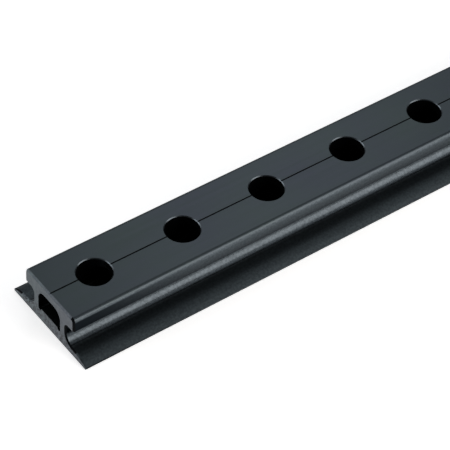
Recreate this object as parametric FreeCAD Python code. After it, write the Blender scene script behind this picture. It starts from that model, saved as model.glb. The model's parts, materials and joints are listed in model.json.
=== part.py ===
import FreeCAD, Part
import math
import os

# Sail track section: one piece of drilled aluminium extrusion, lying on its flat base.
# X runs along the track, Y across it and Z up. The origin is at the middle of the base.
# Sizes are in millimetres. Widths are whole widths, and heights are taken from the base.

# the piece of stock
track_length = 600.0
track_height = 24.0

# the head, which a slider wraps around
head_width = 40.0
head_upper_corner_radius = 2.2
head_lower_corner_radius = 1.0
lip_underside_height = 15.5

# the waist between the head and the base
waist_width = 26.5
waist_upper_fillet = 2.4
waist_lower_fillet = 6.0

# the base: each side slopes down from the waist over a rounded shoulder to a thin edge
base_width = 60.0
base_edge_thickness = 1.0
race_floor_height = 4.1
base_slope_width = 4.5
shoulder_height = 3.4
shoulder_radius = 17.0

# the hollow that runs right through, with a gutter along each side of its floor
hollow_width = 18.2
hollow_roof_height = 19.2
hollow_roof_corner_radius = 5.3
hollow_floor_width = 13.4
hollow_floor_height = 7.8
gutter_slope_width = 0.4
gutter_floor_height = 6.4
gutter_corner_radius = 1.2

# the fine line cut along the middle of the top
centre_line_width = 0.7
centre_line_depth = 0.35

# the row of holes through the top wall
hole_pitch = 50.0
first_hole_from_end = 25.0
hole_diameter = 17.4
hole_chamfer = 0.4

# the broken edges of the two sawn ends, which run out to nothing at the edges of the base
end_edge_break = 0.8
shoulder_edge_break = 0.3

# how far a cutter runs past a face that it enters or leaves
cutter_overrun = 1.0

# lengths under this count as nothing
small_length = 1e-6


def corner_arc(before, corner, after, radius):
    """The start, middle and end of the arc that rounds one corner."""
    to_before = (before - corner).normalize()
    to_after = (after - corner).normalize()
    half_angle = to_before.getAngle(to_after) / 2
    setback = radius / math.tan(half_angle)
    inward = (to_before + to_after).normalize()
    centre = corner + inward * (radius / math.sin(half_angle))
    return [corner + to_before * setback, centre - inward * radius, corner + to_after * setback]


def closed_wire(corners, x):
    """A closed wire across the track at x, through corners given as (y, z, rounding radius)."""
    points = [FreeCAD.Vector(x, y, z) for y, z, _ in corners]
    stops = []
    for index, point in enumerate(points):
        radius = corners[index][2]
        after = points[(index + 1) % len(points)]
        stops.append(corner_arc(points[index - 1], point, after, radius) if radius else [point])
    edges = []
    for index, stop in enumerate(stops):
        if len(stop) == 3:
            edges.append(Part.Arc(*stop).toShape())
        following = stops[(index + 1) % len(stops)][0]
        if stop[-1].distanceToPoint(following) > small_length:
            edges.append(Part.LineSegment(stop[-1], following).toShape())
    return Part.Wire(edges)


def both_sides(half):
    """A symmetric outline, from its half at positive Y listed from the bottom up."""
    return half + [(-y, z, radius) for y, z, radius in reversed(half)]


def outer_outline(edge_break=0.0, shoulder_break=0.0):
    """The outside of the extrusion, drawn in by what is broken off the edges of an end."""
    waist = waist_width / 2 - edge_break
    head = head_width / 2 - edge_break
    lip = lip_underside_height + edge_break
    return both_sides([
        (base_width / 2, 0.0, 0.0),
        (base_width / 2, base_edge_thickness, 0.0),
        (base_width / 2 - base_slope_width, shoulder_height - shoulder_break, shoulder_radius),
        (waist, race_floor_height - edge_break, waist_lower_fillet + edge_break),
        (waist, lip, waist_upper_fillet + edge_break),
        (head, lip, head_lower_corner_radius - edge_break),
        (head, track_height - edge_break, head_upper_corner_radius - edge_break),
    ])


def hollow_outline():
    """The inside of the extrusion: arched roof, straight walls, raised floor and its gutters."""
    return both_sides([
        (hollow_floor_width / 2, hollow_floor_height, 0.0),
        (hollow_floor_width / 2 + gutter_slope_width, gutter_floor_height, 0.0),
        (hollow_width / 2, gutter_floor_height, gutter_corner_radius),
        (hollow_width / 2, hollow_roof_height, hollow_roof_corner_radius),
    ])


def through_cutter(corners):
    """An outline carried along the whole track and past both of its ends."""
    start = -track_length / 2 - cutter_overrun
    along = FreeCAD.Vector(track_length + 2 * cutter_overrun, 0, 0)
    return Part.Face(closed_wire(corners, start)).extrude(along)


def solid_track():
    """The extrusion before anything is cut into it, drawn in at its two broken ends."""
    end = track_length / 2
    near = end - end_edge_break
    whole = outer_outline()
    broken = outer_outline(end_edge_break, shoulder_edge_break)
    sections = [(broken, -end), (whole, -near), (whole, near), (broken, end)]
    return Part.makeLoft([closed_wire(corners, x) for corners, x in sections], True, True)


def centre_line_cutter():
    """The wedge that cuts the fine line along the middle of the top."""
    spread = centre_line_width / 2 * (1 + cutter_overrun / centre_line_depth)
    above = track_height + cutter_overrun
    corners = [
        (0.0, track_height - centre_line_depth, 0.0),
        (spread, above, 0.0),
        (-spread, above, 0.0),
    ]
    return through_cutter(corners)


def hole_cutter(x):
    """One drill, from the middle of the hollow up through the top wall, with its countersink."""
    radius = hole_diameter / 2
    start = (hollow_floor_height + hollow_roof_height) / 2
    depth = track_height + cutter_overrun - start
    drill = Part.makeCylinder(radius, depth, FreeCAD.Vector(x, 0, start))
    sink_depth = hole_chamfer + cutter_overrun
    sink_start = FreeCAD.Vector(x, 0, track_height - hole_chamfer)
    sink = Part.makeCone(radius, radius + sink_depth, sink_depth, sink_start)
    return drill.fuse(sink)


def hole_places():
    """The x of each hole, from the end at negative X."""
    span = track_length - 2 * first_hole_from_end
    count = int(span / hole_pitch + small_length) + 1
    return [-track_length / 2 + first_hole_from_end + index * hole_pitch for index in range(count)]


def track_section():
    """The finished piece."""
    body = solid_track().cut(through_cutter(hollow_outline()))
    body = body.cut(centre_line_cutter())
    return body.cut([hole_cutter(x) for x in hole_places()])


os.makedirs("parts", exist_ok=True)
track_section().exportStep("parts/track_section.step")
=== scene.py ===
import json
import logging
import math
from dataclasses import dataclass, field
from enum import IntEnum

import bpy
import numpy as np
from mathutils import Matrix, Vector
from mathutils.geometry import tessellate_polygon


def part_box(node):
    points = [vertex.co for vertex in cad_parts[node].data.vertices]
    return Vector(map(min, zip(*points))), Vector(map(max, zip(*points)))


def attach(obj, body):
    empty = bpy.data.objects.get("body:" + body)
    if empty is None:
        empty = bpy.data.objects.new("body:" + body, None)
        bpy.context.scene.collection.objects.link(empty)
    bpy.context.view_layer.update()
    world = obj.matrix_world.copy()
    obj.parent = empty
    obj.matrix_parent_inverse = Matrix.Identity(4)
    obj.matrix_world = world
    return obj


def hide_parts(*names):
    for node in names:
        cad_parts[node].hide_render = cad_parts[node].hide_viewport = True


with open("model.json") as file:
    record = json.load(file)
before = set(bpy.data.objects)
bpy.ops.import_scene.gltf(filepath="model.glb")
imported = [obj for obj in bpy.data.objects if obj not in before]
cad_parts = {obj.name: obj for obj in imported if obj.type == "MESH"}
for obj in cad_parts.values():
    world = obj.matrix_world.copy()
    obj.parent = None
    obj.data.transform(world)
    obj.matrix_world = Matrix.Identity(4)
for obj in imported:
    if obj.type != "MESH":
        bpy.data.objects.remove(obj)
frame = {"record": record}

# A drilled length of sail track: black anodised extrusion between two sawn ends.
# Everything is in metres, X along the track, Y across it and Z up from its flat base.
# A line across the track is a list of (y, z) points, with the metal on its left when X
# points at the eye.

MM = 0.001
NODE = "track_section"
BODY = "root"

# points closer than this are one vertex, and the shift keeps round sizes off a cell's border
WELD_DISTANCE = 1e-6
WELD_SHIFT = 0.3137

# the numbers of a Mix node's sockets for colours, because other sockets bear the same names
MIX_SHARE, MIX_LOW, MIX_HIGH, MIX_RESULT = 0, 6, 7, 2

Array = np.ndarray
Colour = tuple[float, float, float]
Direction = tuple[float, float, float]
Span = tuple[float, float]
Socket = bpy.types.NodeSocket

log = logging.getLogger(NODE)


def joined(x: Array | float, y: Array | float, z: Array | float) -> Array:
    """Points or normals from their three parts, which are stretched to one shape, (..., 3)."""
    return np.stack(np.broadcast_arrays(x, y, z), axis=-1)


def unit(vectors: Array) -> Array:
    """Vectors along the last axis, each divided by its length."""
    return vectors / np.linalg.norm(vectors, axis=-1, keepdims=True)


def quads_of(grid: Array) -> Array:
    """The values of a grid's points at the corners of each quad, (rows - 1, columns - 1, 4, ...)."""
    return np.stack([grid[:-1, :-1], grid[:-1, 1:], grid[1:, 1:], grid[1:, :-1]], axis=2)


def flat_normals(grid: Array) -> Array:
    """One normal for each quad of a grid, (rows - 1, columns - 1, 1, 3): its diagonals crossed."""
    a, b, c, d = np.moveaxis(quads_of(grid), 2, 0)
    return unit(np.cross(c - a, d - b))[:, :, None]


def placed(data: bpy.types.ID) -> bpy.types.Object:
    """Puts a mesh, a lamp or a camera into the scene.

    Args:
        data: The mesh, lamp or camera.

    Returns:
        The object, at the origin and with the same name.
    """
    made = bpy.data.objects.new(data.name, data)
    bpy.context.scene.collection.objects.link(made)
    return made


class Finish(IntEnum):
    """The finishes of the track's faces, in the order of its material slots; some hold painted light and
    shade.
    """

    ANODISED = 0
    SAWN = 1
    BORED = 2
    PAINTED_SHADE = 3
    SIDE = 4
    COUNTERSUNK = 5
    FILLET_PAINTED_HIGHLIGHT = 6
    BASE = 7


@dataclass(frozen=True)
class Corner:
    """A corner of a line across the track, rounded to a radius, or sharp without one."""

    y: float
    z: float
    radius: float = 0.0


def mirrored(half: list[Corner]) -> list[Corner]:
    """The corners of the other side, so that the line runs on from the end of the given half."""
    return [Corner(-corner.y, corner.z, corner.radius) for corner in reversed(half)]


def rounded(places: Array, radius: float, steps: int) -> tuple[Array, Array]:
    """The arc that rounds one corner.

    The centre lies on the bisector, the radius over the cosine of half the turn away. About
    it the arc turns evenly from the normal of the first run to the normal of the second.

    Args:
        places: The points before, at and after the corner, (3, 2).
        radius: The arc's radius.
        steps: How many straight pieces stand for the arc.

    Returns:
        The arc's points, and the outward normal at each of them.
    """
    before, corner, after = places
    first, second = unit(corner - before), unit(after - corner)
    turn = math.atan2(first[0] * second[1] - first[1] * second[0], float(first @ second))
    centre = corner + unit(second - first) * radius / math.cos(turn / 2)
    angles = math.atan2(-first[0], first[1]) + np.linspace(0.0, turn, steps + 1)
    outward = np.stack([np.cos(angles), np.sin(angles)], axis=1)
    return centre + outward * radius * math.copysign(1.0, turn), outward


@dataclass
class Profile:
    """An open line across the track that is carried along it, with its own normals.

    Segment i runs from point i to point i + 1. Its normals at its two ends are kept apart,
    so that an arc shades round and a corner between two segments stays crisp.
    """

    points: Array
    leaving: Array
    arriving: Array

    @staticmethod
    def through(corners: list[Corner], arc_steps: int) -> "Profile":
        """The line through a list of corners, from the first to the last.

        Args:
            corners: The corners in order, the first and last of them sharp.
            arc_steps: How many straight pieces stand for each arc.

        Returns:
            The profile.
        """
        places = np.array([(corner.y, corner.z) for corner in corners])
        runs, normals = [], []
        for index, corner in enumerate(corners):
            run, normal = places[index : index + 1], np.zeros((1, 2))
            if corner.radius:
                run, normal = rounded(places[index - 1 : index + 2], corner.radius, arc_steps)
            runs.append(run)
            normals.append(normal)
        points, own = np.concatenate(runs), np.concatenate(normals)
        owner = np.repeat(np.arange(len(runs)), [len(run) for run in runs])
        along = np.diff(points, axis=0)
        flat = unit(np.stack([along[:, 1], -along[:, 0]], axis=1))
        on_arc = (owner[:-1] == owner[1:])[:, None]
        return Profile(points, np.where(on_arc, own[:-1], flat), np.where(on_arc, own[1:], flat))

    def trimmed(self) -> "Profile":
        """The line without its first and last segments."""
        return Profile(self.points[1:-1], self.leaving[1:-1], self.arriving[1:-1])

    def middles(self) -> Array:
        """The y and z of the middle of each segment, (2, segments)."""
        return (self.points[:-1] + self.points[1:]).T / 2

    def distances(self) -> Array:
        """How far along the line each point lies, counted from the line's middle."""
        reached = np.cumsum(np.linalg.norm(np.diff(self.points, axis=0, prepend=self.points[:1]), axis=1))
        return reached - reached[-1] / 2

    def places_at(self, distance: Array) -> Array:
        """The points at given distances along the line, (..., 2)."""
        own = self.distances()
        return np.stack([np.interp(distance, own, self.points[:, axis]) for axis in (0, 1)], axis=-1)

    def normals_at(self, distance: Array) -> Array:
        """The normals at given distances along the line, turning evenly between its points.

        Args:
            distance: The distances, of any shape.

        Returns:
            The normals, (..., 2).
        """
        normals = np.concatenate([self.leaving, self.arriving[-1:]])
        angles = np.unwrap(np.arctan2(normals[:, 1], normals[:, 0]))
        angle = np.interp(distance, self.distances(), angles)
        return np.stack([np.cos(angle), np.sin(angle)], axis=-1)

    def corner_normals(self) -> Array:
        """The normals at the four corners of each quad of a sweep, (1, segments, 4, 3)."""
        around = np.stack([self.leaving, self.arriving, self.arriving, self.leaving], axis=1)
        return joined(0.0, around[..., 0], around[..., 1])[None]


@dataclass
class Shell:
    """Gathers surfaces into one closed mesh, with a finish and normals for every face."""

    surfaces: list[tuple[Array, ...]] = field(default_factory=list)

    def add_faces(self, points: Array, faces: Array, normals: Array, finish: Finish | Array) -> None:
        """Adds faces that all have the same number of corners.

        Args:
            points: The places of the vertices, (vertices, 3).
            faces: The vertices of each face, (faces, corners).
            normals: The normals, which stretch to (faces, corners, 3).
            finish: One finish for all the faces, or one for each.
        """
        normals = np.broadcast_to(normals, (*faces.shape, 3))
        finishes = np.broadcast_to(finish, len(faces)).astype(np.int32)
        self.surfaces.append((points, faces, normals, finishes))

    def add_grid(self, grid: Array, normals: Array, finish: Finish | Array) -> None:
        """Adds a surface whose points are a function of a row and a column.

        A quad faces the way of its step in columns crossed with its step in rows.

        Args:
            grid: The places of the points, (rows, columns, 3).
            normals: The normals, which stretch to (rows - 1, columns - 1, 4, 3).
            finish: The finish, which stretches to (rows - 1, columns - 1).
        """
        rows, columns = grid.shape[:2]
        faces = quads_of(np.arange(rows * columns).reshape(rows, columns)).reshape(-1, 4)
        spread = np.broadcast_to(normals, (rows - 1, columns - 1, 4, 3)).reshape(-1, 4, 3)
        finishes = np.broadcast_to(finish, (rows - 1, columns - 1)).ravel()
        self.add_faces(grid.reshape(-1, 3), faces, spread, finishes)

    def mesh(self, name: str) -> bpy.types.Mesh:
        """Welds the points that touch and makes the mesh.

        Args:
            name: The mesh's name.

        Returns:
            The mesh, with its finishes as material indices and its own normals.
        """
        points, faces, normals, finishes = zip(*self.surfaces)
        starts = np.cumsum([0] + [len(own) for own in points])
        corners = np.concatenate([(own + start).ravel() for own, start in zip(faces, starts)])
        sizes = np.concatenate([np.full(len(own), own.shape[1]) for own in faces])
        points = np.concatenate(points)
        cells = np.floor(points / WELD_DISTANCE + WELD_SHIFT).astype(np.int64)
        _, kept, owner = np.unique(cells, axis=0, return_index=True, return_inverse=True)
        made = bpy.data.meshes.new(name)
        made.vertices.add(len(kept))
        made.vertices.foreach_set("co", points[kept].astype(np.float32).ravel())
        made.loops.add(len(corners))
        made.loops.foreach_set("vertex_index", owner.ravel()[corners].astype(np.int32))
        made.polygons.add(len(sizes))
        made.polygons.foreach_set("loop_start", (np.cumsum(sizes) - sizes).astype(np.int32))
        made.polygons.foreach_set("material_index", np.concatenate(finishes))
        made.polygons.foreach_set("use_smooth", np.ones(len(sizes), bool))
        made.update(calc_edges=True)
        made.normals_split_custom_set(np.concatenate([own.reshape(-1, 3) for own in normals]).tolist())
        return made


@dataclass(frozen=True)
class Section:
    """The extrusion's section: its sizes, and the lines across the track that they make.

    The hollow is split into a roof and a floor at the height where the roof springs. The fine line
    and a lip on each side of it are painted black, painted shadow in the groove. The top has as many
    points across as the roof, so that a column of a hole's grid joins the two.
    """

    base_width: float
    height: float
    head_width: float = 40.0 * MM
    head_upper_radius: float = 2.2 * MM
    head_lower_radius: float = 1.0 * MM
    lip_underside: float = 15.5 * MM
    waist_width: float = 26.5 * MM
    waist_upper_radius: float = 2.4 * MM
    waist_lower_radius: float = 6.0 * MM
    base_edge: float = 1.0 * MM
    race_floor: float = 4.1 * MM
    base_slope_width: float = 4.5 * MM
    shoulder_height: float = 3.4 * MM
    shoulder_radius: float = 17.0 * MM
    hollow_width: float = 18.2 * MM
    roof_height: float = 19.2 * MM
    roof_radius: float = 5.3 * MM
    roof_spring: float = 12.0 * MM
    floor_width: float = 13.4 * MM
    floor_height: float = 7.8 * MM
    gutter_slope: float = 0.4 * MM
    gutter_height: float = 6.4 * MM
    gutter_radius: float = 1.2 * MM
    line_width: float = 0.7 * MM
    line_depth: float = 0.35 * MM
    line_lip: float = 0.05 * MM
    end_break: float = 0.8 * MM
    shoulder_break: float = 0.3 * MM
    skin_arc_steps: int = 12
    hollow_arc_steps: int = 7
    top_steps: int = 7

    def skin(self, drawn_in: bool = False) -> Profile:
        """The outside from one edge of the flat top, down round the base and up to the other.

        Args:
            drawn_in: Whether it is the outline of an end, smaller by what is broken off.

        Returns:
            The profile, with as many points either way.
        """
        cut = self.end_break if drawn_in else 0.0
        shoulder = self.shoulder_height - (self.shoulder_break if drawn_in else 0.0)
        base, waist, head = self.base_width / 2, self.waist_width / 2 - cut, self.head_width / 2 - cut
        lip, top = self.lip_underside + cut, self.height - cut
        half = [
            Corner(base, 0.0),
            Corner(base, self.base_edge),
            Corner(base - self.base_slope_width, shoulder, self.shoulder_radius),
            Corner(waist, self.race_floor - cut, self.waist_lower_radius + cut),
            Corner(waist, lip, self.waist_upper_radius + cut),
            Corner(head, lip, self.head_lower_radius - cut),
            Corner(head, top, self.head_upper_radius - cut),
            Corner(0.0, top),
        ]
        return Profile.through(mirrored(half) + half, self.skin_arc_steps).trimmed()

    def outline(self, drawn_in: bool = False) -> Array:
        """The closed line round the outside: the skin, then back over the top to its start.

        Args:
            drawn_in: Whether it is the outline of an end.

        Returns:
            Its points, (points, 2), the first again at the end.
        """
        y = self.top_side()[-2::-1]
        z = self.height - (self.end_break if drawn_in else self.line_depth_at(y))
        top = np.stack(np.broadcast_arrays(y, z), axis=1)
        return np.concatenate([self.skin(drawn_in).points, top])

    def roof(self) -> Profile:
        """The arched roof of the hollow, from one wall over to the other.

        Returns:
            The profile, with a point in its middle.
        """
        side = self.hollow_width / 2
        half = [Corner(-side, self.roof_spring), Corner(-side, self.roof_height, self.roof_radius)]
        middle = Corner(0.0, self.roof_height)
        return Profile.through([*half, middle, *mirrored(half)], self.hollow_arc_steps)

    def floor(self) -> Profile:
        """The lower hollow: down one wall, over the raised floor and its gutters, and up.

        Returns:
            The profile.
        """
        side, edge = self.hollow_width / 2, self.floor_width / 2
        half = [
            Corner(side, self.roof_spring),
            Corner(side, self.gutter_height, self.gutter_radius),
            Corner(edge + self.gutter_slope, self.gutter_height),
            Corner(edge, self.floor_height),
        ]
        return Profile.through(half + mirrored(half), self.hollow_arc_steps)

    def top_side(self) -> Array:
        """The places of the points across the flat top, from one edge to the other.

        Returns:
            The y of each point, rising.
        """
        edge = self.head_width / 2 - self.head_upper_radius
        line = self.line_width / 2
        beside = np.linspace(line + self.line_lip, edge, self.top_steps + 1)
        half = np.concatenate([[0.0, line], beside])
        return np.concatenate([-half[:0:-1], half])

    def line_depth_at(self, y: Array) -> Array:
        """How deep the fine line on the top is at a distance from its middle: a plain V."""
        return self.line_depth * np.clip(1 - np.abs(y) / (self.line_width / 2), 0.0, 1.0)

    def near_line(self, y: Array, lip: float = 0.0) -> Array:
        """Which spans between neighbouring points across the top lie in the fine line and a lip."""
        return np.abs(y[:-1] + y[1:]) / 2 < self.line_width / 2 + lip

    def top_normals(self, y: Array) -> Array:
        """The normals of the spans between points across the top: up, but tilted in the V.

        Args:
            y: The places of the points, one after the other.

        Returns:
            The normals, (spans, 3).
        """
        slope = np.where(self.near_line(y), np.sign(y[:-1] + y[1:]), 0.0)
        return unit(joined(0.0, -slope * self.line_depth / (self.line_width / 2), 1.0))

    def top_finishes(self, y: Array, finish: Finish) -> Array:
        """The finish of each span across the top: painted shadow, black, in the fine line and on its lips.
        """
        # painted shadow: the fine line and its lips take the near-black finish
        return np.where(self.near_line(y, self.line_lip), Finish.PAINTED_SHADE, finish)


@dataclass(frozen=True)
class Hole:
    """A countersunk hole through the top wall, with the cells of the top and roof around it.

    A column of its grid starts on the border of the top's cell, runs in to the rim, down the
    countersink and the bore, and out along the roof to the border of the roof's cell. The
    columns go round the hole, anticlockwise from above, and the last is the first again.
    """

    section: Section
    radius: float
    chamfer: float = 0.4 * MM
    cell_length: float = 25.0 * MM
    cell_steps: int = 16
    top_rings: int = 4
    bore_rings: int = 2
    roof_rings: int = 6

    def border(self, side: Array) -> Array:
        """The rectangle round a cell.

        Args:
            side: The places of its points across the track, from one edge to the other.

        Returns:
            Its points as (along, across), (columns, 2).
        """
        ends = np.linspace(-1.0, 1.0, self.cell_steps + 1)
        full, edge = np.ones(len(side) - 1), np.ones(self.cell_steps)
        along = np.concatenate([full, ends[:0:-1], -full, ends[:-1], [1.0]])
        across = np.concatenate([side[:-1], edge * side[-1], side[:0:-1], edge * side[0], side[:1]])
        return np.stack([along * self.cell_length / 2, across], axis=1)

    def directions(self, border: Array, rim: Array) -> Array:
        """Which way each column lies from the hole's axis.

        A point of the border lies the way it would if the cell were square. Where the fine
        line and its lips come in, it lies where its own y meets the rim, so that they stay
        straight.

        Args:
            border: The rectangle round the top's cell.
            rim: The radius at which each column meets the countersink.

        Returns:
            A unit vector for each column, (columns, 2).
        """
        y = border[:, 1]
        square = border / np.abs(border).max(axis=0)
        reach = np.sign(border[:, 0]) * np.sqrt(np.maximum(rim**2 - y**2, 0.0))
        on_line = np.abs(y) <= self.section.line_width / 2 + self.section.line_lip + WELD_DISTANCE
        angle = np.where(on_line, np.arctan2(y, reach), np.arctan2(square[:, 1], square[:, 0]))
        return np.stack([np.cos(angle), np.sin(angle)], axis=1)

    def grid(self) -> tuple[Array, Array]:
        """The points of the hole about its axis, and their normals.

        The rows of a cell are a straight mix of its border and its rim: on the roof in
        distances along the arch, so that the cell bends with it.

        Returns:
            The points, (rows, columns, 3), and the normals, (rows - 1, columns - 1, 4, 3).
        """
        section, roof = self.section, self.section.roof()
        border, roof_border = self.border(section.top_side()), self.border(roof.distances())
        depth = section.line_depth_at(border[:, 1])
        rim = self.radius + self.chamfer - depth
        around = self.directions(border, rim)
        wall = around * self.radius

        top = np.linspace(border, around * rim[:, None], self.top_rings + 1)
        top = joined(top[..., 0], top[..., 1], section.height - depth)

        roof_rim = np.interp(wall[:, 1], roof.points[:, 0], roof.distances())
        foot = roof.places_at(roof_rim)[:, 1]
        level = np.linspace(section.height - self.chamfer, foot, self.bore_rings + 1)
        bore = joined(wall[:, 0], wall[:, 1], level)

        unrolled = np.stack([wall[:, 0], roof_rim], axis=1)
        unrolled = np.linspace(unrolled, roof_border, self.roof_rings + 1)
        bent, down = roof.places_at(unrolled[..., 1]), roof.normals_at(unrolled[..., 1])
        under = joined(unrolled[..., 0], bent[..., 0], bent[..., 1])

        inward = joined(-around[:, 0], -around[:, 1], 0.0)
        sunk = unit(inward + [0.0, 0.0, 1.0])
        up = np.repeat(section.top_normals(border[:, 1])[None, :, None], 4, axis=2)
        bands = [
            np.repeat(up, self.top_rings, axis=0),
            quads_of(np.stack([sunk, sunk])),
            quads_of(np.stack([inward] * (self.bore_rings + 1))),
            quads_of(joined(0.0, down[..., 0], down[..., 1])),
        ]
        return np.concatenate([top, bore, under[1:]]), np.concatenate(bands)

    def finishes(self) -> Array:
        """The finish of each quad of the grid.

        Returns:
            The finishes, (rows - 1, columns - 1).
        """
        top = self.section.top_finishes(self.border(self.section.top_side())[:, 1], Finish.ANODISED)
        below = [Finish.COUNTERSUNK] + [Finish.BORED] * self.bore_rings + [Finish.ANODISED] * self.roof_rings
        return np.array([top] * self.top_rings + [np.full_like(top, finish) for finish in below])

    def stations(self) -> Array:
        """The places along the track, counted from the axis, where its cells have points."""
        return np.linspace(-self.cell_length / 2, self.cell_length / 2, self.cell_steps + 1)

    def add_to(self, shell: Shell, centre: float) -> None:
        """Adds the hole as one surface to a mesh, with its axis at a place along the track."""
        points, normals = self.grid()
        shell.add_grid(points + np.array([centre, 0.0, 0.0]), normals, self.finishes())


@dataclass
class Track:
    """The drilled extrusion: its section carried along, a row of holes and two sawn ends.

    A segment of the section is one of its sides, with their painted light and shade, when its normal
    rises or falls less than the side tilt, or in the upper corners of the head less than the corner
    tilt, which gives those corners the painted highlight. Along the broken edge of the base, the
    painted black of a dark reflection ends at the near black's reach on the near side, and begins
    at the far black's start on the far side, both counted from the middle.
    """

    length: float
    section: Section
    hole: Hole
    hole_places: Array
    side_tilt: float = 0.01
    corner_tilt: float = 0.55
    scuff_and_painted_black_strip: float = 0.3 * MM
    near_painted_black_reach: float = 21.0 * MM
    far_painted_black_start: float = 23.5 * MM
    shell: Shell = field(default_factory=Shell)

    def stations(self) -> Array:
        """The places along the track where the cells around the holes have points."""
        return (self.hole_places[:, None] + self.hole.stations()).ravel()

    def gaps(self, end: float) -> Array:
        """The stretches between the cells of the holes, out to a place near each end, (gaps, 2)."""
        cells = (self.hole_places[:, None] + self.hole.stations()[[0, -1]]).ravel()
        return np.concatenate([[-end], cells, [end]]).reshape(-1, 2)

    def add_sweep(self, profile: Profile, places: Array, finish: Finish | Array) -> None:
        """Carries a profile along the track: point (i, j) is profile point j moved to place i.

        Args:
            profile: The line across the track.
            places: The places along the track, in rising order.
            finish: The finish, which stretches to (places - 1, segments of the profile).
        """
        grid = joined(places[:, None], *profile.points.T)
        self.shell.add_grid(grid, profile.corner_normals(), finish)

    def zones(self, profile: Profile) -> Array:
        """The finish of each segment of the outside, away from the ends.

        Args:
            profile: The line round the outside.

        Returns:
            The finishes: of the sides and upper corners, with painted light and shade, the base, the
            fillets of the waist, with a painted highlight level, and the rest.
        """
        z = profile.middles()[1]
        on_corner = z > self.section.height - self.section.head_upper_radius
        tilt = np.where(on_corner, self.corner_tilt, self.side_tilt)
        zones = [
            (np.abs(profile.leaving[:, 1]) < tilt, Finish.SIDE),
            (z < self.section.race_floor + WELD_DISTANCE, Finish.BASE),
            (z < self.section.lip_underside, Finish.FILLET_PAINTED_HIGHLIGHT),
        ]
        return np.select(*zip(*zones), Finish.ANODISED)

    def add_skin(self) -> None:
        """Adds the outside below the flat top, with a strip at each end of the near side of the head painted
        black as a dark reflection.
        """
        profile, section = self.section.skin(), self.section
        near = self.length / 2 - section.end_break
        far = near - self.scuff_and_painted_black_strip
        places = np.concatenate([[-near, -far], self.stations(), [far, near]])
        y, z = profile.middles()
        near_head = (y < -section.waist_width / 2) & (z > section.lip_underside)
        plain = self.zones(profile)
        finish = np.tile(plain, (len(places) - 1, 1))
        # painted dark reflection: the end strips on the near side of the head
        finish[[0, -1]] = np.where(near_head, Finish.PAINTED_SHADE, plain)
        self.add_sweep(profile, places, finish)

    def add_broken_edges(self) -> None:
        """Adds the broken edges of both ends, all round the outline.

        On the top and the far side they are as bare as the sawn face, then painted black as a dark
        reflection out to the far edge of the base. On the near side they are painted black as a dark
        reflection, then anodised out to its edge.
        """
        section = self.section
        outer, inner = section.outline(drawn_in=True), section.outline()
        inner_x = self.length / 2 - section.end_break + section.line_depth_at(inner[:, 0])
        same = np.all(np.isclose(inner, outer, atol=WELD_DISTANCE), axis=1)
        y = (inner[:-1, 0] + inner[1:, 0]) / 2
        # painted dark reflection: black on the near side's broken edges and out to the far base edge
        finish = np.where((y > 0) & (y < self.far_painted_black_start), Finish.SAWN, Finish.PAINTED_SHADE)
        finish = np.where((same[:-1] & same[1:]) | (y < -self.near_painted_black_reach), Finish.BASE, finish)
        finish[1 - len(section.top_side()) :] = Finish.SAWN
        for end in (-1, 1):
            rows = [joined(end * self.length / 2, *outer.T), joined(end * inner_x, *inner.T)]
            grid = np.stack(rows[::-end])
            self.shell.add_grid(grid, flat_normals(grid), finish)

    def add_plain_top(self, x: Array, finish: Finish) -> None:
        """Adds the flat top with its fine line between two lines across it.

        Args:
            x: The places of the two lines along the track, (2, 1) or (2, points across).
            finish: The finish beside the fine line.
        """
        section, y = self.section, self.section.top_side()[::-1]
        grid = joined(x, y, section.height - section.line_depth_at(y))
        up = section.top_normals(y)[None, :, None]
        self.shell.add_grid(grid, up, section.top_finishes(y, finish))

    def add_top(self) -> None:
        """Adds the flat top between the cells of the holes, scuffed bare along both ends.

        Where it stops at a broken edge, the bottom of the fine line runs on to meet it.
        """
        near = self.length / 2 - self.section.end_break
        far = near - self.scuff_and_painted_black_strip
        for gap in self.gaps(far):
            self.add_plain_top(gap[:, None], Finish.ANODISED)
        reach = near + self.section.line_depth_at(self.section.top_side())
        strip = np.stack([np.full_like(reach, far), reach])
        self.add_plain_top(strip, Finish.SAWN)
        self.add_plain_top(-strip[::-1], Finish.SAWN)

    def add_hollow(self) -> None:
        """Adds the lower hollow, and its roof between the cells of the holes."""
        end = self.length / 2
        floor_places = np.concatenate([[-end], self.stations(), [end]])
        self.add_sweep(self.section.floor(), floor_places, Finish.ANODISED)
        for gap in self.gaps(end):
            self.add_sweep(self.section.roof(), gap, Finish.ANODISED)

    def add_ends(self) -> None:
        """Adds the two sawn faces: flat, between the drawn-in outside and the hollow."""
        outside = self.section.outline(drawn_in=True)[:-1]
        inside = np.concatenate([self.section.roof().points, self.section.floor().points[1:-1]])
        points = np.concatenate([outside, inside])
        loops = [[Vector((y, z, 0.0)) for y, z in loop] for loop in (outside, inside)]
        faces = np.array(tessellate_polygon(loops))
        a, b, c = joined(0.0, *points.T)[faces.T]
        faces = np.where(np.cross(b - a, c - a)[:, :1] > 0, faces, faces[:, ::-1])
        for end in (-1, 1):
            place = joined(end * self.length / 2, *points.T)
            self.shell.add_faces(place, faces[:, ::end], np.array([end, 0.0, 0.0]), Finish.SAWN)

    def build(self) -> bpy.types.Object:
        """Builds the whole surface.

        Returns:
            The track as an object, with no materials yet.
        """
        self.add_skin()
        self.add_broken_edges()
        self.add_top()
        self.add_hollow()
        for centre in self.hole_places:
            self.hole.add_to(self.shell, centre)
        self.add_ends()
        return placed(self.shell.mesh("drilled_extrusion"))

    @staticmethod
    def dress(extrusion: bpy.types.Object) -> None:
        """Gives the extrusion one material for each finish, in their order.

        Args:
            extrusion: The track's object.
        """
        Effects().build()
        for finish in Finish:
            extrusion.data.materials.append(FINISHES[finish].material())


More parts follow.
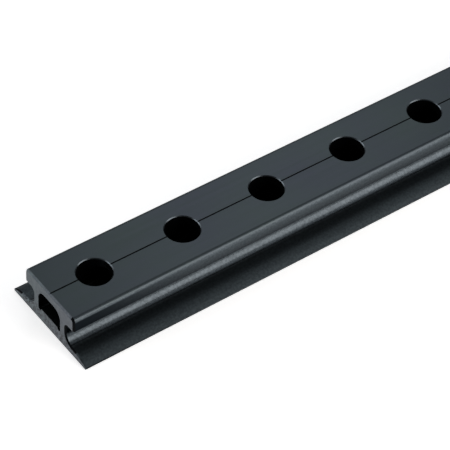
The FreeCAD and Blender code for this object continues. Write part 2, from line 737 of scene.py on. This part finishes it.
class Graph:
    """Adds nodes to a node tree and joins them."""

    def __init__(self, tree: bpy.types.NodeTree) -> None:
        """Starts from an empty tree."""
        self.tree = tree
        tree.nodes.clear()

    @staticmethod
    def of(owner: bpy.types.Material | bpy.types.World) -> "Graph":
        """The graph of a material or a world, which is empty."""
        owner.use_nodes = True
        return Graph(owner.node_tree)

    def surface(self, inputs: dict) -> None:
        """Ends a material's tree with its shader, which takes the inputs."""
        shader = self.add("ShaderNodeBsdfPrincipled", inputs)
        self.add("ShaderNodeOutputMaterial", {"Surface": shader.outputs[0]})

    def add(self, kind: str, inputs: dict | None = None, **settings: object) -> bpy.types.Node:
        """Adds a node.

        Args:
            kind: The node's type name.
            inputs: What goes into its sockets, by name or number: another socket, or a value,
                which has three parts where it is a colour.
            **settings: Its own properties.

        Returns:
            The node.
        """
        node = self.tree.nodes.new(kind)
        for name, value in settings.items():
            setattr(node, name, value)
        for name, value in (inputs or {}).items():
            socket = node.inputs[name]
            if isinstance(value, Socket):
                self.tree.links.new(value, socket)
            else:
                socket.default_value = (*value, 1.0) if socket.type == "RGBA" else value
        return node

    def math(self, operation: str, *values: float | Socket) -> Socket:
        """The result of a sum done with numbers or sockets."""
        return self.add("ShaderNodeMath", dict(enumerate(values)), operation=operation).outputs[0]

    def vectors(self, operation: str, *values: Colour | Socket) -> bpy.types.Node:
        """A node that does a sum with two vectors, and gives a vector or a value."""
        return self.add("ShaderNodeVectorMath", dict(enumerate(values)), operation=operation)

    def effect(self, name: str, place: Socket, numbers: dict[str, float]) -> Socket:
        """What a shared group gives at a point of the track, for its numbers."""
        group = bpy.data.node_groups[name]
        return self.add("ShaderNodeGroup", {"Vector": place, **numbers}, node_tree=group).outputs[0]

    def part(self, vector: Socket, axis: str) -> Socket:
        """One part of a vector, X, Y or Z."""
        return self.add("ShaderNodeSeparateXYZ", {"Vector": vector}).outputs[axis]

    def ramp(self, value: Socket, start: float, stop: float) -> Socket:
        """A smooth rise from 0 to 1 as a value goes from start to stop, either way."""
        inputs = {"Value": value, "From Min": start, "From Max": stop}
        return self.add("ShaderNodeMapRange", inputs, interpolation_type="SMOOTHSTEP").outputs[0]

    def between(self, share: Socket, low: float | Socket, high: float | Socket) -> Socket:
        """A number between two, by a share from 0 to 1."""
        return self.add("ShaderNodeMapRange", {"Value": share, "To Min": low, "To Max": high}).outputs[0]

    def spread(self, value: Socket, contrast: float | Socket) -> Socket:
        """A value from 0 to 1 with its distance from a half multiplied, and kept in 0 to 1."""
        wide = self.math("MULTIPLY", self.math("SUBTRACT", value, 0.5), contrast)
        return self.add("ShaderNodeClamp", {"Value": self.math("ADD", wide, 0.5)}).outputs[0]

    def blend(self, share: Socket, low: Colour | Socket, high: Colour | Socket) -> Socket:
        """A colour between two, by a share from 0 to 1."""
        inputs = {MIX_SHARE: share, MIX_LOW: low, MIX_HIGH: high}
        return self.add("ShaderNodeMix", inputs, data_type="RGBA").outputs[MIX_RESULT]


class Effects:
    """The shader groups that several finishes share, and find by name."""

    @staticmethod
    def start(name: str, numbers: tuple[str, str], result: str) -> Graph:
        """Starts a group that takes a vector and two numbers, and gives a number.

        Args:
            name: The group's name.
            numbers: The names of the numbers that it takes.
            result: The name of the number that it gives.

        Returns:
            The graph of its empty tree.
        """
        tree = bpy.data.node_groups.new(name, "ShaderNodeTree")
        tree.interface.new_socket("Vector", in_out="INPUT", socket_type="NodeSocketVector")
        for number in numbers:
            tree.interface.new_socket(number, in_out="INPUT", socket_type="NodeSocketFloat")
        tree.interface.new_socket(result, in_out="OUTPUT", socket_type="NodeSocketFloat")
        return Graph(tree)

    def build_lines(self) -> None:
        """Builds the lines that the die draws along the track: noise stretched far along X."""
        graph = self.start("drawn_lines", ("Per Metre", "Stretch"), "Height")
        given = graph.add("NodeGroupInput").outputs
        squeeze = graph.add("ShaderNodeCombineXYZ", {"X": given["Stretch"], "Y": 1.0, "Z": 1.0})
        place = graph.vectors("MULTIPLY", given["Vector"], squeeze.outputs[0]).outputs[0]
        inputs = {"Vector": place, "Scale": given["Per Metre"], "Detail": 3.0, "Roughness": 0.6}
        noise = graph.add("ShaderNodeTexNoise", inputs)
        graph.add("NodeGroupOutput", {"Height": noise.outputs["Fac"]})

    def build_clouds(self) -> None:
        """Builds soft patches of even size, from 0 to 1: noise with its middle stretched out."""
        graph = self.start("cloudiness", ("Per Metre", "Contrast"), "Share")
        given = graph.add("NodeGroupInput").outputs
        inputs = {"Vector": given["Vector"], "Scale": given["Per Metre"], "Detail": 4.0}
        noise = graph.add("ShaderNodeTexNoise", inputs)
        graph.add("NodeGroupOutput", {"Share": graph.spread(noise.outputs["Fac"], given["Contrast"])})

    def build(self) -> None:
        """Builds each group once."""
        self.build_lines()
        self.build_clouds()


@dataclass(frozen=True)
class MetalFinish:
    """A metal with clouds in its colour, and drawn lines in its colour, gloss and height.

    Its roughness runs from smooth to rough as the lines rise, and very small clouds are its
    grain. The edge tint is how much of the mirror image is left at low angles, or 1 for all.
    """

    name: str
    dark: Colour
    light: Colour
    metallic: float = 1.0
    smooth: float = 0.27
    rough: float = 0.37
    clouds_per_metre: float = 30.0
    cloud_contrast: float = 2.0
    lines_per_metre: float = 900.0
    line_stretch: float = 0.01
    relief: float = 0.01 * MM
    specular: float = 0.5
    edge_tint: float = 0.6

    def pattern(self, graph: Graph, place: Socket) -> Socket:
        """The height that shapes the surface and its gloss: lines drawn along the track."""
        numbers = {"Per Metre": self.lines_per_metre, "Stretch": self.line_stretch}
        return graph.effect("drawn_lines", place, numbers)

    def clouds(self, graph: Graph, place: Socket, per_metre: float) -> Socket:
        """The share of cloud at a point, from 0 to 1."""
        numbers = {"Per Metre": per_metre, "Contrast": self.cloud_contrast}
        return graph.effect("cloudiness", place, numbers)

    def tint(self, graph: Graph, place: Socket, share: Socket) -> Socket:
        """The colour of the surface: dark to light, by the share of the clouds and lines."""
        return graph.blend(share, self.dark, self.light)

    def material(self) -> bpy.types.Material:
        """Builds the material.

        Returns:
            The material.
        """
        made = bpy.data.materials.new(self.name)
        graph = Graph.of(made)
        place = graph.add("ShaderNodeTexCoord").outputs["Object"]
        height = self.pattern(graph, place)
        cloud = self.clouds(graph, place, self.clouds_per_metre)
        share = graph.math("MULTIPLY", graph.math("ADD", cloud, height), 0.5)
        bump = graph.add("ShaderNodeBump", {"Height": height, "Distance": self.relief})
        inputs = {
            "Base Color": self.tint(graph, place, share),
            "Metallic": self.metallic,
            "Roughness": graph.between(height, self.smooth, self.rough),
            "Specular IOR Level": self.specular,
            "Specular Tint": (self.edge_tint, self.edge_tint, self.edge_tint),
            "Normal": bump.outputs[0],
        }
        graph.surface(inputs)
        return made


@dataclass(frozen=True)
class CutFinish(MetalFinish):
    """Metal that is cut after the die has drawn it, with marks that run no one way."""

    clouds_per_metre: float = 400.0
    cloud_contrast: float = 1.5
    line_stretch: float = 1.0
    edge_tint: float = 1.0


@dataclass(frozen=True)
class SawnFinish(CutFinish):
    """Bare metal with the arcs that a saw blade leaves.

    The blade's axle stands at a place in the plane of the cut. The light colour changes across
    the track from the near one to the far one, and low down the face is more mottled, with dark spots.
    """

    blade_y: float = -90.0 * MM
    blade_z: float = -120.0 * MM
    near_light: Colour = (0.120, 0.137, 0.157)
    near_to_far: Span = (-12.0 * MM, 16.0 * MM)
    mottled_low: Span = (9.0 * MM, 6.0 * MM)
    low_mottle_contrast: float = 2.0
    pit: Colour = (0.012, 0.014, 0.017)
    dark_spots_per_metre: float = 800.0
    dark_spot_share: Span = (0.52, 0.75)

    def pattern(self, graph: Graph, place: Socket) -> Socket:
        """The height of the saw marks: noise of the distance from the blade's axle.

        Args:
            graph: The material's graph.
            place: The point on the track.

        Returns:
            A height from 0 to 1.
        """
        only_across = graph.vectors("MULTIPLY", place, (0.0, 1.0, 1.0)).outputs[0]
        reach = graph.vectors("DISTANCE", only_across, (0.0, self.blade_y, self.blade_z))
        inputs = {"W": reach.outputs["Value"], "Scale": self.lines_per_metre, "Detail": 3.0}
        return graph.add("ShaderNodeTexNoise", inputs, noise_dimensions="1D").outputs["Fac"]

    def tint(self, graph: Graph, place: Socket, share: Socket) -> Socket:
        """The colour: bluer on the near side, and more mottled and spotted dark low down.

        Args:
            graph: The material's graph.
            place: The point on the track.
            share: How far the clouds and saw marks take it from dark to light.

        Returns:
            The colour.
        """
        across = graph.ramp(graph.part(place, "Y"), *self.near_to_far)
        light = graph.blend(across, self.near_light, self.light)
        low_down = graph.ramp(graph.part(place, "Z"), *self.mottled_low)
        contrast = graph.math("ADD", graph.math("MULTIPLY", low_down, self.low_mottle_contrast), 1.0)
        colour = graph.blend(graph.spread(share, contrast), self.dark, light)
        dark_spots = graph.ramp(self.clouds(graph, place, self.dark_spots_per_metre), *self.dark_spot_share)
        dark_spotted = graph.math("MULTIPLY", low_down, dark_spots)
        return graph.blend(dark_spotted, colour, self.pit)


@dataclass(frozen=True)
class SideGrainAndPaintedLight(MetalFinish):
    """The upright sides and upper corners of the head: grainy anodise with painted light and shade.

    The foot and the edge are levels that its colour is multiplied by: painted shade at the foot of
    the head, and a painted highlight in the bright strip just under the upper corners, where it is
    brightest. The near side of its first stretch has the colour of the shade, painted shade up to
    the strip. Each pair of places is where a change begins and where it is over.
    """

    # painted shade at the foot of the head, painted highlight under its upper corners, painted shade over
    # the near end
    foot: float = 0.64
    foot_to_top: Span = (16.0 * MM, 21.8 * MM)
    edge: float = 1.25
    painted_highlight_from_below: Span = (21.0 * MM, 22.0 * MM)
    painted_highlight_from_above: Span = (23.6 * MM, 22.4 * MM)
    shade: Colour = (0.006, 0.009, 0.012)
    out_of_shade: Span = (21.4 * MM, 22.6 * MM)
    shade_along: Span = (-300.0 * MM, -215.0 * MM)

    def tint(self, graph: Graph, place: Socket, share: Socket) -> Socket:
        """The colour: a painted highlight along the upper edge of the head, painted shade at its foot and
        over the near end.

        Args:
            graph: The material's graph.
            place: The point on the track.
            share: How far the clouds and lines take it from dark to light.

        Returns:
            The colour.
        """
        height = graph.part(place, "Z")
        level = graph.between(graph.ramp(height, *self.foot_to_top), self.foot, 1.0)
        below, above = graph.ramp(height, *self.painted_highlight_from_below), graph.ramp(height, *self.painted_highlight_from_above)
        level = graph.between(graph.math("MULTIPLY", below, above), level, self.edge)
        # painted shade over the near side's first stretch, below the painted highlight
        along = graph.ramp(graph.part(place, "X"), *self.shade_along)
        on_far_side = graph.math("GREATER_THAN", graph.part(place, "Y"), 0.0)
        past = graph.math("MAXIMUM", along, on_far_side)
        lit = graph.math("MAXIMUM", past, graph.ramp(height, *self.out_of_shade))
        colour = graph.vectors("MULTIPLY", graph.blend(share, self.dark, self.light), level).outputs[0]
        return graph.blend(lit, self.shade, colour)


GRAIN = {"clouds_per_metre": 900.0, "cloud_contrast": 4.0}

# each finish with its dark and its light colour
FINISHES: dict[Finish, MetalFinish] = {
    Finish.ANODISED: MetalFinish("black_anodised", (0.053, 0.058, 0.077), (0.055, 0.073, 0.070)),
    Finish.SAWN: SawnFinish(
        "sawn_metal", (0.047, 0.056, 0.071), (0.124, 0.158, 0.167), metallic=0.6,
        smooth=0.45, rough=0.60, clouds_per_metre=450.0, cloud_contrast=2.2, relief=0.02 * MM,
    ),
    Finish.BORED: CutFinish(
        "bored_anodised", (0.035, 0.042, 0.048), (0.055, 0.065, 0.073), smooth=0.25, rough=0.35,
        clouds_per_metre=200.0, lines_per_metre=1500.0, relief=0.005 * MM,
    ),
    # painted shade: near-black, for the fine line's shadow and the dark reflections along the broken edges
    Finish.PAINTED_SHADE: CutFinish(
        "blackened_metal", (0.001, 0.002, 0.003), (0.003, 0.004, 0.005), metallic=0.0,
        smooth=0.45, rough=0.60, specular=0.03,
    ),
    # the same anodise as the top, brightened and darkened by painted light and shade
    Finish.SIDE: SideGrainAndPaintedLight("side_anodised", (0.046, 0.055, 0.061), (0.101, 0.120, 0.134), **GRAIN),
    Finish.COUNTERSUNK: CutFinish(
        "countersunk_metal", (0.062, 0.074, 0.084), (0.087, 0.101, 0.114), smooth=0.24, rough=0.32,
        lines_per_metre=1500.0, relief=0.005 * MM,
    ),
    # the same anodise with colours of its own that set how bright the lamp's stripe along the waist is, a
    # painted highlight level, and a smoother gloss of its own
    Finish.FILLET_PAINTED_HIGHLIGHT: MetalFinish(
        "fillet_anodised", (0.037, 0.044, 0.050), (0.078, 0.093, 0.105), smooth=0.22, rough=0.31,
        **GRAIN,
    ),
    Finish.BASE: MetalFinish(
        "base_anodised", (0.037, 0.045, 0.050), (0.069, 0.085, 0.093), smooth=0.40, rough=0.50,
        **GRAIN,
    ),
}


@dataclass(frozen=True)
class PhotoCamera:
    """The camera, as it was fitted to the photograph's five holes, edges and sawn end.

    The angles are in degrees. The pixels are those of the photograph: the focal length, and
    the place of the middle of the near end's foot.
    """

    azimuth: float = -39.42
    elevation: float = 45.16
    roll: float = 4.05
    distance: float = 987.03 * MM
    focal_pixels: float = 2128.04
    foot_column: float = 49.36
    foot_row: float = 329.32
    image_pixels: float = 450.0
    nearest: float = 10.0 * MM
    farthest: float = 100.0

    def build(self, foot: Vector) -> None:
        """Places the camera so that it sees a point of the track at its place in the photograph.

        Args:
            foot: The middle of the near end's foot.
        """
        turn, rise, roll = (math.radians(angle) for angle in (self.azimuth, self.elevation, self.roll))
        pose = Matrix.Rotation(turn, 4, "Z") @ Matrix.Rotation(math.pi / 2 - rise, 4, "X")
        pose = pose @ Matrix.Rotation(roll, 4, "Z")
        aside = (self.foot_column - self.image_pixels / 2) / self.focal_pixels * self.distance
        above = (self.image_pixels / 2 - self.foot_row) / self.focal_pixels * self.distance
        pose.translation = foot - pose.to_3x3() @ Vector((aside, above, -self.distance))
        data = bpy.data.cameras.new("photo_camera")
        data.lens = self.focal_pixels / self.image_pixels * data.sensor_width
        data.clip_start = self.nearest
        data.clip_end = self.farthest
        made = placed(data)
        made.matrix_world = pose
        bpy.context.scene.camera = made


@dataclass(frozen=True)
class Softbox:
    """A plain rectangular lamp that faces a point, seen from there in a given direction."""

    name: str
    toward: Direction
    distance: float
    width: float
    height: float
    radiance: float
    colour: Colour = (1.0, 1.0, 1.0)

    def build(self, target: Vector) -> None:
        """Builds the lamp.

        A rectangle of area A that gives off P watts shines with P over pi times A.

        Args:
            target: The point that it faces.
        """
        data = bpy.data.lights.new(self.name, "AREA")
        data.shape = "RECTANGLE"
        data.size = self.width
        data.size_y = self.height
        data.energy = self.radiance * math.pi * self.width * self.height
        data.color = self.colour
        away = Vector(self.toward).normalized()
        made = placed(data)
        made.location = target + away * self.distance
        made.rotation_euler = (-away).to_track_quat("-Z", "Y").to_euler()
        made.visible_camera = False


@dataclass(frozen=True)
class Studio:
    """The pale floor, the surrounding light and the lamps.

    The floor's lift is the light that it gives off where it is looked at, which takes it to
    white. Round the scene, a dark low wall gives way to the grey overhead between two sines of
    elevation, and the room darkens toward its dark side between two cosines of the angle.
    """

    target: Vector
    floor_size: float = 12.0
    floor_drop: float = 0.05 * MM
    floor_colour: Colour = (0.92, 0.92, 0.92)
    floor_lift: float = 0.58
    overhead: Colour = (0.42, 0.43, 0.44)
    low_wall: Colour = (0.12, 0.12, 0.12)
    wall_top: Span = (0.10, 0.45)
    dark_room: Colour = (0.10, 0.10, 0.10)
    dark_side: Direction = (-0.4477, -0.5447, 0.7091)
    dark_spread: Span = (0.55, 0.85)
    lamps: tuple[Softbox, ...] = (
        Softbox("back_panel", (0.45, 0.545, 0.709), distance=1.5, width=0.5, height=0.6, radiance=0.93),
        Softbox("front_panel", (0.45, -0.38, 0.81), distance=1.4, width=0.4, height=0.4, radiance=0.75),
        Softbox(
            "front_right_strip", (0.40, -0.72, 0.35), distance=1.3, width=1.3, height=0.9,
            radiance=3.05, colour=(1.0, 0.945, 0.895),
        ),
        Softbox("back_left_strip", (-0.69, 0.58, 0.43), distance=1.2, width=1.2, height=0.45, radiance=2.6),
    )

    def build_floor(self) -> None:
        """Builds the floor: pale, and lifted to white for rays that look at it."""
        half, level = self.floor_size / 2, -self.floor_drop
        mesh = bpy.data.meshes.new("floor")
        corners = [(x * half, y * half, level) for x, y in ((-1, -1), (1, -1), (1, 1), (-1, 1))]
        mesh.from_pydata(corners, [], [(0, 1, 2, 3)])
        made = placed(mesh)
        paint = bpy.data.materials.new("pale_floor")
        graph = Graph.of(paint)
        ray = graph.add("ShaderNodeLightPath").outputs
        seen = graph.math("MAXIMUM", ray["Is Camera Ray"], ray["Is Glossy Ray"])
        seen = graph.math("MAXIMUM", seen, ray["Is Transmission Ray"])
        inputs = {
            "Base Color": self.floor_colour,
            "Roughness": 1.0,
            "Specular IOR Level": 0.0,
            "Emission Color": (1.0, 1.0, 1.0),
            "Emission Strength": graph.math("MULTIPLY", seen, self.floor_lift),
        }
        graph.surface(inputs)
        made.data.materials.append(paint)

    def build_world(self) -> None:
        """Lights the scene from all round: grey overhead, darker low down and on one side."""
        world = bpy.data.worlds.new("studio")
        bpy.context.scene.world = world
        graph = Graph.of(world)
        direction = graph.add("ShaderNodeTexCoord").outputs["Generated"]
        toward = graph.vectors("DOT_PRODUCT", direction, self.dark_side).outputs["Value"]
        room = graph.blend(graph.ramp(toward, *self.dark_spread), self.overhead, self.dark_room)
        colour = graph.blend(graph.ramp(graph.part(direction, "Z"), *self.wall_top), self.low_wall, room)
        background = graph.add("ShaderNodeBackground", {"Color": colour})
        graph.add("ShaderNodeOutputWorld", {"Surface": background.outputs[0]})

    def build(self) -> None:
        """Builds the floor, the surrounding light and every lamp."""
        self.build_floor()
        self.build_world()
        for lamp in self.lamps:
            lamp.build(self.target)


def main() -> None:
    """Builds the track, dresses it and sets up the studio."""
    logging.basicConfig(level=logging.INFO, format="%(message)s")
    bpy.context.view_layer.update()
    low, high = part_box(NODE)
    bores = [mount for mount in frame["record"]["mounts"] if mount["kind"] == "bore"]
    section = Section(base_width=high.y - low.y, height=high.z - low.z)
    track = Track(
        length=high.x - low.x,
        section=section,
        hole=Hole(section, radius=bores[0]["dims"]["r_mm"] * MM),
        hole_places=np.array(sorted(bore["pos_m"][0] for bore in bores)),
    )
    extrusion = track.build()
    track.dress(extrusion)
    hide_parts(NODE)
    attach(extrusion, BODY)
    log.info("%s: %d faces", extrusion.name, len(extrusion.data.polygons))
    PhotoCamera().build(foot=Vector((low.x, 0.0, low.z)))
    Studio(target=Vector((low.x / 2, 0.0, high.z))).build()
    bpy.context.scene.view_settings.view_transform = "Standard"


if __name__ == "__main__":
    main()
